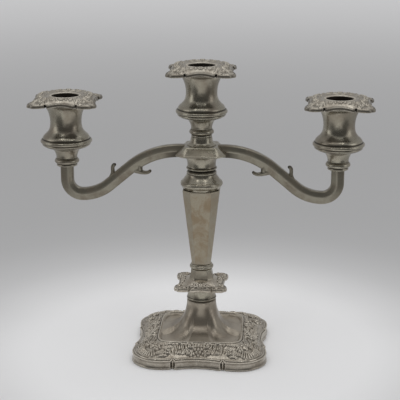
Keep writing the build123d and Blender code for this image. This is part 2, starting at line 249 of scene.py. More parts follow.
def tarnishGroup():
    # clean metal, a brown film in broad patches with fine speckle, and black grime wherever the surface is hollow;
    # the same black paints shade where the hollow attribute is raised.
    # Crests are mixed towards the clean metal, as wear and as painted highlight. Body is how much the film covers the
    # metal's shine, and crests lose a further share of it, which paints bright matte highlights on them
    patchShare, speckleShare, crestPaintedSheen = 0.75, 0.35, 0.3
    group, put, sink = newGroup(
        "tarnish",
        {
            "Place": None, "Hollow": 0.5, "Clean": (0.5, 0.47, 0.41, 1), "Film": (0.3, 0.24, 0.16, 1),
            "Grime And Shade": (0.03, 0.026, 0.02, 1), "Film Amount": 0.5, "Grime Amount": 0.8, "Patch Size": 20.0,
            "Polish": 0.2, "Dullness": 0.4, "Body": 0.5,
        },
        {"Colour": "Color", "Roughness": "Float", "Metal": "Float"},
    )
    perMetre = maths(group, "DIVIDE", 1000.0, put["Patch Size"])
    broad = addNode(group, "ShaderNodeTexNoise", {
        "Vector": put["Place"], "Scale": perMetre, "Detail": 5.0, "Roughness": 0.62, "Distortion": 0.6,
    })
    fine = addNode(group, "ShaderNodeTexNoise", {
        "Vector": put["Place"], "Scale": maths(group, "MULTIPLY", perMetre, 9.0), "Detail": 4.0, "Roughness": 0.7,
    })
    patches = ranged(group, broad.outputs[0], 0.42, 0.62)
    speckle = ranged(group, fine.outputs[0], 0.35, 0.7)
    blend = maths(
        group, "ADD", maths(group, "MULTIPLY", patches, patchShare), maths(group, "MULTIPLY", speckle, speckleShare))
    film = maths(group, "MULTIPLY", blend, put["Film Amount"], clamp=True)
    hollow = ranged(group, put["Hollow"], 0.54, 0.82)
    grimeAndShade = maths(group, "MULTIPLY", hollow, put["Grime Amount"], clamp=True)
    crest = ranged(group, put["Hollow"], 0.46, 0.22)
    metal = mixColour(group, film, put["Clean"], put["Film"])
    # crests are mixed towards the clean metal: wear, and painted highlight
    rubbedAndHighlit = mixColour(group, maths(group, "MULTIPLY", crest, 0.6), metal, put["Clean"])
    # the grime colour paints patina in hollows, and painted shade where the hollow attribute is raised
    colour = mixColour(group, grimeAndShade, rubbedAndHighlit, put["Grime And Shade"])
    smeared = maths(group, "ADD", maths(group, "MULTIPLY", blend, 0.5), maths(group, "MULTIPLY", grimeAndShade, 1.2))
    rough = addNode(group, "ShaderNodeMix", {
        0: maths(group, "MINIMUM", smeared, 1.0), 2: put["Polish"], 3: put["Dullness"],
    })
    covered = maths(group, "MULTIPLY", put["Body"], maths(group, "ADD", maths(group, "MULTIPLY", film, 0.7), 0.3))
    # painted highlight: crests lose shine, so they show as bright matte lines
    covered = maths(group, "ADD", covered, maths(group, "MULTIPLY", crest, crestPaintedSheen))
    shine = maths(group, "SUBTRACT", 1.0, covered, clamp=True)
    feed(group, sink, {"Colour": colour, "Roughness": rough.outputs[0], "Metal": shine})
    return group


def handMarksGroup():
    # shallow knocks, wiping scratches that run round the piece, and pits, as one height
    group, put, sink = newGroup(
        "handMarks", {"Place": None, "Knocks": 1.0, "Scratches": 1.0, "Pits": 1.0}, {"Height": "Float"},
    )
    knocks = addNode(group, "ShaderNodeTexNoise", {
        "Vector": put["Place"], "Scale": 90.0, "Detail": 1.0, "Roughness": 0.4,
    })
    stretched = addNode(group, "ShaderNodeMapping", {"Vector": put["Place"], "Scale": (300.0, 300.0, 4200.0)})
    scratches = addNode(group, "ShaderNodeTexNoise", {
        "Vector": stretched.outputs[0], "Scale": 1.0, "Detail": 3.0, "Roughness": 0.75,
    })
    pits = addNode(group, "ShaderNodeTexVoronoi", {"Vector": put["Place"], "Scale": 900.0})
    total = maths(group, "MULTIPLY", knocks.outputs[0], put["Knocks"])
    total = maths(group, "ADD", total, maths(
        group, "MULTIPLY", scratches.outputs[0], maths(group, "MULTIPLY", put["Scratches"], 0.06)))
    total = maths(group, "ADD", total, maths(
        group, "MULTIPLY", ranged(group, pits.outputs["Distance"], 0.0, 0.25),
        maths(group, "MULTIPLY", put["Pits"], 0.03)))
    feed(group, sink, {"Height": total})
    return group


tarnish = tarnishGroup()
handMarks = handMarksGroup()


def silver(name, look):
    # tarnished plate: the film's colour, roughness and shine, with the hand marks as relief, depth mm deep. A look's
    # other names are the two groups' inputs. A skirt of (height, share) darkens all below that height to that share
    material, tree, shader = newMaterial(name)
    place = addNode(tree, "ShaderNodeTexCoord").outputs["Object"]
    hollow = addNode(tree, "ShaderNodeAttribute", attribute_name="hollow").outputs["Fac"]
    film = addNode(tree, "ShaderNodeGroup", node_tree=tarnish)
    marks = addNode(tree, "ShaderNodeGroup", node_tree=handMarks)
    for group, places in ((film, {"Place": place, "Hollow": hollow}), (marks, {"Place": place})):
        feed(tree, group, places)
        feed(tree, group, {key: value for key, value in look.items() if key in group.inputs})
    relief = addNode(tree, "ShaderNodeBump", {
        "Height": marks.outputs["Height"], "Strength": 1.0, "Distance": look["depth"] * mm,
    })
    colour = film.outputs["Colour"]
    if "skirt" in look:
        height, keep = look["skirt"]
        up = addNode(tree, "ShaderNodeSeparateXYZ", {0: place}).outputs["Z"]
        share = ranged(tree, up, (height - 1.2) * mm, (height + 0.6) * mm, keep, 1.0)
        colour = addNode(tree, "ShaderNodeVectorMath", {0: colour, "Scale": share}, operation="SCALE").outputs[0]
    feed(tree, shader, {
        "Base Color": colour, "Roughness": film.outputs["Roughness"], "Normal": relief.outputs[0],
        "Metallic": film.outputs["Metal"],
    })
    return material


looks = {
    "polished": {
        "Clean": (0.42, 0.395, 0.32, 1), "Film": (0.27, 0.23, 0.18, 1), "Grime And Shade": (0.035, 0.03, 0.022, 1),
        "Film Amount": 0.85, "Grime Amount": 0.9, "Patch Size": 18.0, "Polish": 0.25, "Dullness": 0.4,
        "Body": 0.14, "Knocks": 1.0, "Scratches": 1.0, "Pits": 0.4, "depth": 0.35,
    },
    "bars": {
        "Clean": (0.32, 0.3, 0.24, 1), "Film": (0.215, 0.18, 0.135, 1), "Grime And Shade": (0.03, 0.026, 0.02, 1),
        "Film Amount": 0.9, "Grime Amount": 0.9, "Patch Size": 14.0, "Polish": 0.3, "Dullness": 0.5,
        "Body": 0.42, "Knocks": 1.0, "Scratches": 1.0, "Pits": 0.6, "depth": 0.35,
    },
    "column": {
        "Clean": (0.375, 0.34, 0.265, 1), "Film": (0.3, 0.235, 0.155, 1), "Grime And Shade": (0.05, 0.04, 0.028, 1),
        "Film Amount": 1.35, "Grime Amount": 0.7, "Patch Size": 11.0, "Polish": 0.32, "Dullness": 0.5,
        "Body": 0.35, "Knocks": 0.9, "Scratches": 1.0, "Pits": 1.0, "depth": 0.3,
    },
    "chased": {
        "Clean": (0.62, 0.57, 0.485, 1), "Film": (0.28, 0.235, 0.18, 1), "Grime And Shade": (0.035, 0.028, 0.02, 1),
        "Film Amount": 0.8, "Grime Amount": 1.0, "Patch Size": 12.0, "Polish": 0.2, "Dullness": 0.42,
        "Body": 0.3, "Knocks": 0.6, "Scratches": 0.5, "Pits": 1.0, "depth": 0.2, "skirt": (7.0, 0.8),
    },
    "footSide": {
        "Clean": (0.415, 0.37, 0.3, 1), "Film": (0.25, 0.21, 0.165, 1), "Grime And Shade": (0.035, 0.03, 0.022, 1),
        "Film Amount": 0.9, "Grime Amount": 0.8, "Patch Size": 15.0, "Polish": 0.3, "Dullness": 0.47,
        "Body": 0.3, "Knocks": 0.8, "Scratches": 0.9, "Pits": 0.8, "depth": 0.25,
    },
    "pans": {
        "Clean": (0.49, 0.455, 0.385, 1), "Film": (0.255, 0.22, 0.175, 1), "Grime And Shade": (0.035, 0.03, 0.023, 1),
        "Film Amount": 0.8, "Grime Amount": 1.0, "Patch Size": 7.0, "Polish": 0.28, "Dullness": 0.46,
        "Body": 0.35, "Knocks": 0.6, "Scratches": 0.6, "Pits": 1.0, "depth": 0.2,
    },
    "tubes": {
        "Clean": (0.6, 0.56, 0.48, 1), "Film": (0.38, 0.33, 0.27, 1), "Grime And Shade": (0.03, 0.024, 0.018, 1),
        "Film Amount": 0.8, "Grime Amount": 0.97, "Patch Size": 8.0, "Polish": 0.36, "Dullness": 0.6,
        "Knocks": 0.6, "Scratches": 1.0, "Pits": 1.0, "depth": 0.2,
    },
    "steel": {
        "Clean": (0.5, 0.5, 0.5, 1), "Film": (0.28, 0.24, 0.19, 1), "Grime And Shade": (0.05, 0.045, 0.04, 1),
        "Film Amount": 0.7, "Grime Amount": 0.5, "Patch Size": 6.0, "Polish": 0.3, "Dullness": 0.5,
        "Knocks": 0.3, "Scratches": 1.0, "Pits": 0.6, "depth": 0.15,
    },
}
metals = {name: silver(name + "Silver" if name != "steel" else "fastenerSteel", look) for name, look in looks.items()}


def baizeMaterial():
    # green felt: short fibres as noise, paler where they stand up, and worn patches
    material, tree, shader = newMaterial("greenBaize")
    place = addNode(tree, "ShaderNodeTexCoord").outputs["Object"]
    fibres = addNode(tree, "ShaderNodeTexNoise", {"Vector": place, "Scale": 1400.0, "Detail": 4.0, "Roughness": 0.8})
    wear = addNode(tree, "ShaderNodeTexNoise", {"Vector": place, "Scale": 60.0, "Detail": 3.0})
    colour = mixColour(tree, fibres.outputs[0], (0.012, 0.05, 0.026, 1), (0.05, 0.13, 0.07, 1))
    colour = mixColour(tree, ranged(tree, wear.outputs[0], 0.45, 0.75), colour, (0.08, 0.12, 0.07, 1))
    relief = addNode(tree, "ShaderNodeBump", {"Height": fibres.outputs[0], "Distance": 0.4 * mm})
    feed(tree, shader, {
        "Base Color": colour, "Roughness": 0.95, "Sheen Weight": 0.4, "Normal": relief.outputs[0],
    })
    return material


print("materials made")


# round pieces: a profile of (radius, height above the node's foot) turned about the node's axis

def fullTurn(count):
    # evenly spaced angles once round
    return 2 * math.pi * np.arange(count) / count


def lathe(name, node, shape, columns=144, dents=0.0, darkenWithin=0.0):
    # point(i, j) = axis + profile radius i at angle j, and profile height i above the node's foot. Dents are waves
    # on the radius. The bore inside the given radius is darkened, and the shape's rings of (height, reach) get
    # painted shade
    x, y = axisOf(node)
    line = profileOf(shape["path"], 0.36)
    boreDarkening, ringShade, dentSize = 0.6, 0.34, 19
    angle = fullTurn(columns)
    r = line[:, :1] * np.ones(columns)
    h = line[:, 1:] * np.ones(columns) + lowOf(node)
    if dents:
        r = r + dents * wave(r * np.cos(angle) + x, r * np.sin(angle), h, dentSize) * np.clip(r / 6 - 1, 0, 1)
    grid = np.stack([x + r * np.cos(angle), y + r * np.sin(angle), h], 2)
    paintedLightAndWear = np.clip((darkenWithin - r) / 0.15, 0, 1) * np.clip((h.max() - 0.5 - h) / 0.6, 0, 1) * boreDarkening
    # painted shade: dark rings where grooves and the gaps between parts fall into shade
    for height, reach in shape.get("paintedShadeRings", ()):
        paintedLightAndWear = paintedLightAndWear + ringShade * np.clip(1.3 * (1 - np.abs(h - lowOf(node) - height) / reach), 0, 1)
    return surfaceMesh(name, grid, paintedLightAndWear=paintedLightAndWear)


collarShape = {
    "path": [
        (2.2, 0), (7.9, 0), [(8.4, 0.3), (8.5, 0.9), (8.3, 1.5), (7.9, 1.75)], (8.0, 2.15), [(9.3, 2.7),
        (9.95, 3.6), (10.0, 4.5), (9.6, 5.5), (8.8, 6.0)], (8.7, 6.8), (2.2, 6.8),
    ],
    # painted shade: dark rings in the collar's grooves
    "paintedShadeRings": ((1.9, 0.45), (6.5, 0.5)),
}
cupFootShape = {
    "path": [
        (2.2, 0), (8.5, 0), [(8.55, 1.6), (8.95, 3.3), (9.65, 5.0), (10.6, 6.7), (11.6, 7.8)],
        [(12.5, 8.1), (12.8, 8.5), (12.5, 8.9)], (2.2, 8.9),
    ],
}
cupShape = {
    "path": [
        (2.2, 0), (13.0, 0), [(15.4, 0.15), (17.4, 0.8), (18.1, 1.4)], [(18.9, 1.7), (19.55, 2.4),
        (19.6, 3.1), (19.2, 3.6)], [(20.3, 4.0), (20.95, 4.9), (20.85, 5.9), (20.1, 6.7), (19.3, 6.9)],
        (19.25, 7.4), [(19.0, 8.4), (17.8, 10.1), (16.1, 11.6), (14.5, 13.4), (13.5, 15.2), (12.9, 17.4),
        (12.66, 20.5), (12.85, 23.8), (13.45, 27.0), (14.6, 30.4), (16.0, 33.0), (17.4, 34.7)],
        [(18.2, 35.0), (18.45, 35.5), (18.2, 36.0), (17.6, 36.1)], (16.7, 36.1), [(15.2, 33.0),
        (13.8, 30.4), (12.65, 27.0), (12.05, 23.8), (11.86, 20.5), (12.1, 17.4), (12.7, 15.2),
        (13.7, 13.6), (15.3, 12.0), (17.1, 10.4), (18.4, 8.8), (19.2, 6.5), (19.0, 4.4), (17.0, 2.0),
        (14.6, 1.1)], (2.2, 1.1),
    ],
    # painted shade: dark rings in the cup's grooves and under its bead
    "paintedShadeRings": ((1.3, 0.5), (3.6, 0.5), (7.4, 0.9)),
}
tubeShape = {
    "path": [
        (0.4, 0), (11.2, 0), (11.45, 0.3), (11.45, 25.15), (12.6, 25.15), [(12.95, 25.5), (12.5, 25.88),
        (11.6, 25.85), (11.0, 25.4)], (11.0, 1.3), (10.5, 0.8), (0.4, 0.8),
    ],
}
for side in lights:
    for kind, shape, slot, metal, body, dents, darkenWithin in (
        ("collar", collarShape, "plated_silver", "polished", "branch", 0.0, 0.0),
        ("cup_foot", cupFootShape, "plated_silver", "polished", "branch", 0.05, 0.0),
        ("cup", cupShape, "plated_silver", "polished", "branch", 0.07, 0.0),
        ("nozzle_tube", tubeShape, "dull_tube", "tubes", side + "_tube", 0.0, 11.3),
    ):
        node = f"{side}_{kind}"
        piece = lathe(side + kind.title().replace("_", ""), node, shape, dents=dents, darkenWithin=darkenWithin)
        finished(piece, body, [node], metals[metal])
print("cups, collars and tubes turned")


def raised(path, lift):
    # the same path, higher by lift
    return [raised(p, lift) if isinstance(p, list) else (p[0], lift + p[1]) for p in path]


socketFoot = highOf("column") - lowOf("stem_socket")
stemShapes = {
    "foot_ring": {
        "path": [
            (2.6, 0), (11.0, 0), (11.1, 0.6), [(12.1, 0.9), (12.35, 1.5), (12.1, 2.1)], [(11.75, 3.4),
            (11.45, 5.6), (11.5, 8.5), (12.0, 11.0), (12.6, 12.4)], (2.6, 12.4),
        ],
        "paintedShadeRings": ((0.2, 0.6), (2.6, 0.6)),
    },
    "stem_bead": {
        "path": [
            (2.6, 0), (8.3, 0), [(9.3, 0.35), (9.85, 1.2), (9.9, 1.9), (9.5, 2.7), (8.75, 3.0)],
            [(9.0, 3.4), (8.7, 4.0), (8.3, 4.1)], (2.6, 4.1),
        ],
    },
    "stem_socket": {
        "path": [(2.4, 0), (5.5, 0), (5.5, 8.0), (12.0, 8.0)] + raised([
            (12.0, 0), (15.4, 0), [(15.5, 0.8), (16.0, 1.8), (16.9, 3.1), (17.3, 4.4), (16.95, 5.7), (16.2, 6.5)],
            (15.7, 6.7), [(14.2, 8.9), (12.9, 10.6), (12.15, 12.2), (11.95, 13.0)],
            [(12.35, 13.4), (12.3, 14.0), (11.8, 14.4)], (11.3, 15.3), (11.0, 15.3), (11.0, 15.4),
        ], socketFoot) + [(11.0, 10.0), (2.4, 10.0)],
        # painted shade: dark rings at the socket's lip, where the plug sits
        "paintedShadeRings": ((socketFoot + 12.9, 0.4), (socketFoot + 15.0, 0.9)),
    },
    "branch_plug": {
        "path": [
            (0.4, 0), (9.8, 0), (10.93, 1.2), (10.93, 17.7), (11.2, 17.7), (12.1, 18.7), [(12.55, 19.0),
            (12.5, 19.6), (11.9, 19.9)], [(11.55, 20.7), (11.5, 22.2), (11.6, 24.0), (12.2, 26.2),
            (13.4, 28.6), (14.6, 30.2), (15.0, 30.9)], (6.0, 30.9), (6.0, 34.0), (0.4, 34.0),
        ],
        # painted shade: dark rings at the flange, where the plug meets the socket
        "paintedShadeRings": ((17.9, 1.1), (20.2, 0.4)),
    },
    "centre_post": {
        "path": [
            (2.2, 0), (11.9, 0), [(12.0, 0.35), (10.9, 0.9), (9.9, 1.8), (9.25, 3.0), (8.85, 4.6),
            (8.6, 6.6)], (2.2, 6.6),
        ],
    },
}
bodyOf = {"branch_plug": "plug", "centre_post": "branch"}
for node, shape in stemShapes.items():
    words = node.split("_")
    piece = lathe(words[0] + words[1].title(), node, shape, columns=160, dents=0.05)
    finished(piece, bodyOf.get(node, "candlestick"), [node], metals["polished"])
print("stem rings turned")


# faceted pieces: a polygon with rounded arrises at each height

def polygonRadius(angle, faces, sharpness):
    # faces are (angle of the face, its distance). The radius is the p-norm of the faces' reaches, so that
    # a large p gives crisp arrises and a small one round ones
    total = 0
    for facing, distance in faces:
        total = total + (np.clip(np.cos(angle - facing), 1e-6, None) / distance) ** sharpness
    return total ** (-1 / sharpness)


def eightFaces(half, cutShare):
    # four main faces at half, and four corner faces that cut off cutShare of half on each side
    corner = half * (2 - cutShare) / math.sqrt(2)
    return [(k * math.pi / 4, half if k % 2 == 0 else corner) for k in range(8)]


def crowdedAngles(columns, facing, share):
    # angles round the piece, up to 1 + share times closer together near the arrises, where the surface turns
    samples, reach = 14400, 0.05
    a = np.linspace(0, 2 * math.pi, samples, endpoint=False)
    near = sum(np.exp(-(((a - f + math.pi) % (2 * math.pi) - math.pi) / reach) ** 2) for f in facing)
    weight = np.cumsum(1 + share * near)
    return np.interp(np.arange(columns) / columns, (weight - weight[0]) / weight[-1], a)


def facetedPiece(name, node, path, cutShare, topCut=None, sharpness=90, columns=320, step=0.6, dents=0.0,
                 wornCorners=0.0, wornEnds=0.0):
    # the path's points are (half width, height) and close into a wall. The corners' cut goes from cutShare at the
    # foot to topCut at the top. The corner faces are cleaner by wornCorners, and both ends by wornEnds
    x, y = axisOf(node)
    line = profileOf(path, step)
    halfFace = math.atan(1 - cutShare)
    crowding, dentSize, cornerFade = 14, 23, 0.03
    arris = [k * math.pi / 2 + s * halfFace for k in range(4) for s in (-1, 1)]
    angle = crowdedAngles(columns, arris, crowding)
    low = polygonRadius(angle, eightFaces(1.0, cutShare), sharpness)
    high = polygonRadius(angle, eightFaces(1.0, cutShare if topCut is None else topCut), sharpness)
    top = line[:, 1:].max()
    r = line[:, :1] * (low + (high - low) * (line[:, 1:] / top))
    h = line[:, 1:] + lowOf(node) + 0 * r
    r = r + dents * wave(r * np.cos(angle), r * np.sin(angle), h, dentSize)
    grid = np.stack([x + r * np.cos(angle), y + r * np.sin(angle), h], 2)
    off = np.abs(angle % (math.pi / 2) - math.pi / 4)
    corners = np.clip((math.pi / 4 - halfFace - off) / cornerFade, 0, 1)
    fromEnd = np.minimum(line[:, 1:], 1.4 * (top - line[:, 1:]))
    ends = np.clip(1.5 - fromEnd / 5, 0, 1)
    return surfaceMesh(name, grid, paintedLightAndWear=-wornCorners * corners[None, :] - wornEnds * ends)


columnShape = {
    "foot": 7.7, "head": 15.1, "wall": 1.3, "cutShare": 0.42, "height": highOf("column") - lowOf("column"),
    "wornCorners": 0.22, "wornEnds": 0.2,
}


def stemColumn(c):
    # a tapered eight-sided tube, closed at its foot but for the rod's hole
    top, inside = c["height"], c["foot"] - c["wall"] + 0.2
    path = [
        (2.6, 0), (c["foot"] - 0.2, 0), (c["foot"] + 0.03, 0.35), (c["head"], top - 0.2), (c["head"] - 0.2, top),
        (c["head"] - c["wall"], top), (inside, 2), (2.6, 2),
    ]
    return facetedPiece(
        "stemColumn", "column", path, c["cutShare"], dents=0.06, wornCorners=c["wornCorners"],
        wornEnds=c["wornEnds"],
    )


finished(stemColumn(columnShape), "candlestick", ["column"], metals["column"])

neckPath = [
    (2.6, 0), (13.1, 0), (13.2, 0.5), [(11.3, 1.6), (10.0, 3.6), (9.1, 7.0), (8.55, 10.6), (8.4, 12.3)], (2.6, 12.3),
]
neck = facetedPiece("stemNeck", "stem_neck", neckPath, 0.44, columns=240, step=0.4)
finished(neck, "candlestick", ["stem_neck"], metals["polished"])

blockPath = [
    (6.06, 0), (20.0, 0), (20.35, 0.5), (20.1, 1.1), (13.4, 6.7), (13.2, 7.2), (2.0, 7.2), (2.0, 3.1), (6.06, 3.1),
]
block = facetedPiece("hubBlock", "hub_block", blockPath, 0.33, topCut=0.12, sharpness=70, step=0.35)
finished(block, "branch", ["hub_block"], metals["polished"])
print("column, neck and block made")


# arms: a six-sided bar carried along a path of straight lines and arcs in the XZ plane

armShape = {
    "innerEnd": 11.5, "bend": 12.3, "sweep": 34.0, "crown": 62.0, "slope": math.radians(40), "lowest": 131.2,
    "height": 168.7, "flatTop": 2.7, "ridge": 4.5, "ridgeHeight": 0.6, "flatFoot": 2.1, "above": 5.2, "below": 5.3,
    # the next row's (from, to, amount) paints shade under the bar near the block, and a highlight on its ridges
    "paintedShadeAndSheen": (22.0, 34.0, 0.26), "rounding": 3,
}


def arcPoints(centre, radius, start, end, count=60):
    # points on a circle, from one angle to the other
    a = np.linspace(start, end, count)
    return np.stack([centre[0] + radius * np.cos(a), centre[1] + radius * np.sin(a)], 1)


def armLine(a, reach, top):
    # (x, z) of the right arm's centre line, from the block to the light
    s = a["slope"]
    bendX = reach - a["bend"]
    lowSlope = (bendX - a["sweep"] * math.sin(s), a["lowest"] + a["sweep"] * (1 - math.cos(s)))
    rise = a["height"] - a["crown"] * (1 - math.cos(s)) - lowSlope[1]
    highX = lowSlope[0] - rise / math.tan(s)
    crownX = highX - a["crown"] * math.sin(s)
    up, down = math.pi / 2, -math.pi / 2
    return evenLine(np.vstack([
        [[a["innerEnd"], a["height"]]],
        arcPoints((crownX, a["height"] - a["crown"]), a["crown"], up, up - s),
        arcPoints((bendX, a["lowest"] + a["sweep"]), a["sweep"], down - s, down),
        arcPoints((bendX, a["lowest"] + a["bend"]), a["bend"], down, 0),
        [[reach, top]],
    ]), 0.7)


def armSection(a):
    # (across, out) corners of the bar, where out points up on the level stretch
    corners = [
        (-a["flatTop"], a["above"]), (a["flatTop"], a["above"]), (a["ridge"], a["ridgeHeight"]),
        (a["flatFoot"], -a["below"]), (-a["flatFoot"], -a["below"]), (-a["ridge"], a["ridgeHeight"]),
    ]
    return softened(evenLine(corners, 0.3, closed=True), a["rounding"])


def sweptBar(name, line, section, mirrorX, width=None, depth=None, paintedShadeAndSheen=None):
    # point(i, j) = line i + across j * Y + out j * normal i, scaled by width and depth at each row. The last
    # argument, (from, to, amount), paints shade on the bar's lower side near the block, and half that amount lightens
    # its ridges, as painted highlight and wear
    tangent = np.gradient(line, axis=0)
    tangent /= np.linalg.norm(tangent, axis=1, keepdims=True)
    normal = np.stack([-tangent[:, 1], tangent[:, 0]], 1)
    width = np.ones(len(line)) if width is None else width
    depth = np.ones(len(line)) if depth is None else depth
    across = section[None, :, 0] * width[:, None]
    out = section[None, :, 1] * depth[:, None]
    x = line[:, :1] + normal[:, :1] * out
    z = line[:, 1:] + normal[:, 1:] * out
    grid = np.stack([x * mirrorX, across, z], 2)
    paintedLightAndWear = np.zeros(x.shape)
    if paintedShadeAndSheen:
        near, far, amount = paintedShadeAndSheen
        # painted shade on the lower side near the block, and painted highlight with wear on the ridges
        paintedLightAndWear = amount * np.clip((far - x) / (far - near), 0, 1) * (section[None, :, 1] < -0.4)
        paintedLightAndWear = paintedLightAndWear - 0.5 * amount * (np.abs(section[None, :, 0]) > 0.93 * np.abs(section[:, 0]).max())
    return surfaceMesh(name, grid, closed=False, flip=mirrorX < 0, paintedLightAndWear=paintedLightAndWear)


def hook(name, points, widths, depths, mirrorX):
    # a tapering leaf hook: an oval section along a spline, closing to a small round tip
    line = evenLine(smoothLine(points), 0.3)
    share = np.linspace(0, 1, len(line))
    knots = np.linspace(0, 1, len(points))
    tip = np.sqrt(np.clip(1 - ((share - 0.93) / 0.07).clip(0) ** 2, 0.02, 1))
    width = np.interp(share, knots, widths) * tip
    depth = np.interp(share, knots, depths) * tip
    a = fullTurn(36)
    oval = np.stack([np.sign(np.cos(a)) * np.abs(np.cos(a)) ** 0.8, np.sin(a)], 1)
    return sweptBar(name, line, oval[::-1], mirrorX, width, depth)


hookShapes = {
    "upper": {
        "points": [(73.4, 142.5), (73.0, 147.0), (72.6, 150.0), (72.7, 152.8), (72.4, 154.9), (71.2, 156.0),
                   (70.0, 155.3)],
        "widths": (2.6, 2.6, 2.3, 2.0, 1.8, 1.7, 1.5),
        "depths": (2.6, 3.0, 2.0, 1.6, 1.5, 1.5, 1.3),
    },
    "lower": {
        "points": [(60.0, 152.0), (55.6, 152.6), (51.6, 151.2), (47.6, 149.9), (44.4, 149.9), (42.3, 151.0),
                   (41.6, 152.4)],
        "widths": (2.8, 2.9, 2.7, 2.3, 1.9, 1.6, 1.3),
        "depths": (2.5, 2.9, 2.8, 2.2, 1.6, 1.4, 1.2),
    },
    "root": {
        "points": [(52.0, 160.0), (51.0, 156.4), (50.4, 153.4), (50.0, 150.8)],
        "widths": (3.4, 3.3, 3.0, 2.4),
        "depths": (3.0, 2.7, 2.4, 2.0),
    },
}


def arm(side, mirrorX):
    # the bar and its hooks, all drawn for the right side, and mirrored for the left
    reach = abs(axisOf(side + "_collar")[0])
    line = armLine(armShape, reach, lowOf(side + "_collar"))
    bar = sweptBar(side + "Arm", line, armSection(armShape)[::-1], mirrorX, paintedShadeAndSheen=armShape["paintedShadeAndSheen"])
    hooks = [
        hook(side + kind.title() + "Hook", shape["points"], shape["widths"], shape["depths"], mirrorX)
        for kind, shape in hookShapes.items()
    ]
    return joined(side + "Arm", [bar] + hooks)


for side, mirrorX in (("right", 1), ("left", -1)):
    finished(arm(side, mirrorX), "branch", [side + "_arm"], metals["bars"])
print("arms swept")


# scrolled plates: an outline with four corner lobes, chased ornament and a turned-down edge

def bump(x, y, cx, cy, radius):
    # a half ball
    return np.sqrt(np.clip(1 - ((x - cx) ** 2 + (y - cy) ** 2) / radius**2, 0, None))


def leaf(x, y, cx, cy, turn, length, width, curl=0.0, ribs=5):
    # a pointed oval with a sunk mid-vein and slanting ribs; curl bends its line sideways
    c, s = math.cos(math.radians(turn)), math.sin(math.radians(turn))
    u = ((x - cx) * c + (y - cy) * s) / length
    v = (-(x - cx) * s + (y - cy) * c) - curl * length * (u * u - 0.25)
    half = width * np.clip(1 - (2 * u) ** 2, 0, None) ** 0.7 * (1 - 0.5 * u)
    across = v / np.maximum(half, 1e-3)
    body = np.clip(1 - across**2, 0, None) ** 0.6
    vein = 1 - 0.45 * np.exp(-((v / 0.28) ** 2))
    rib = 0.84 + 0.16 * np.cos(2 * math.pi * ribs * (u - 0.35 * np.abs(across)))
    return np.where(np.abs(u) < 0.5, body * vein * rib, 0)


def scroll(x, y, cx, cy, radius, turn, hand, width=0.75, turns=1.6):
    # a raised spiral line that winds in to a bead in the middle
    dx, dy = x - cx, (y - cy) * hand
    angle = (np.arctan2(dy, dx) - math.radians(turn)) % (2 * math.pi)
    r = np.hypot(dx, dy)
    best = np.zeros_like(r)
    for k in range(int(math.ceil(turns))):
        along = angle / (2 * math.pi) + k
        line = radius * (1 - 0.78 * along / turns)
        ridge = np.exp(-(((r - line) / width) ** 2)) * (along < turns)
        best = np.maximum(best, ridge)
    return np.maximum(best, bump(x, y, cx, cy, radius * 0.3))


def flower(x, y, cx, cy, radius, petals, turn=0.0):
    # petals as a rounded star with a groove between each, dished towards a bead in the middle
    dx, dy = x - cx, y - cy
    r = np.hypot(dx, dy) / radius
    lobes = np.abs(np.cos((np.arctan2(dy, dx) - math.radians(turn)) * petals / 2))
    edge = 0.62 + 0.38 * lobes**0.6
    body = np.clip(1 - (r / edge) ** 4, 0, None) ** 0.5 * (0.45 + 0.55 * np.clip(r * 1.6, 0, 1)) * (0.7 + 0.3 * lobes)
    return np.maximum(body, 0.95 * bump(dx, dy, 0, 0, radius * 0.27))


def ribbonArc(x, y, cx, cy, radius, start, end, width=0.8):
    # a raised line along part of a circle, fading at both ends
    angle = np.degrees(np.arctan2(y - cy, x - cx))
    middle, half = (start + end) / 2, (end - start) / 2
    away = np.abs((angle - middle + 180) % 360 - 180) / half
    return np.exp(-(((np.hypot(x - cx, y - cy) - radius) / width) ** 2)) * np.clip(1.6 - 1.5 * away**3, 0, 1)


def fan(x, y, cx, cy, inner, outer, ribs, turn, spread):
    # round-ended ribs that radiate from a point, longer in the middle of the fan
    dx, dy = x - cx, y - cy
    angle = (np.degrees(np.arctan2(dy, dx)) - turn + 180) % 360 - 180
    share = np.abs(angle) / spread
    reach = (np.hypot(dx, dy) - inner) / (outer - inner) / np.sqrt(np.clip(1 - 0.45 * share**2, 0.1, 1))
    body = np.clip(reach * 5, 0, 1) * np.clip(1 - reach**5, 0, None) ** 0.5
    return body * (0.35 + 0.65 * np.abs(np.cos(math.pi * ribs * angle / (2 * spread)))) * (share < 1)


stampKinds = {"bump": bump, "leaf": leaf, "scroll": scroll, "flower": flower, "arc": ribbonArc, "fan": fan}


def ornament(x, y, stamps, ground):
    # the plan is folded about both axes and both diagonals, so one eighth holds the whole design
    wobbleX = x + 0.3 * wave(x, y, 0 * x, 17)
    wobbleY = y + 0.3 * wave(y, x, 0 * x + 9, 13)
    a, b = np.abs(wobbleX), np.abs(wobbleY)
    along, out = np.minimum(a, b), np.maximum(a, b)
    height = ground * (0.5 + 0.5 * wave(x, y, 0 * x, 1.9))
    for kind, strength, values in stamps:
        for sign in (1, -1):
            height = np.maximum(height, strength * stampKinds[kind](sign * along, out, *values))
    return height


def rowAt(line, height):
    # the (x, y) line at a height, which is one number or one for each point
    return np.column_stack([line, height + 0 * line[:, 0]])


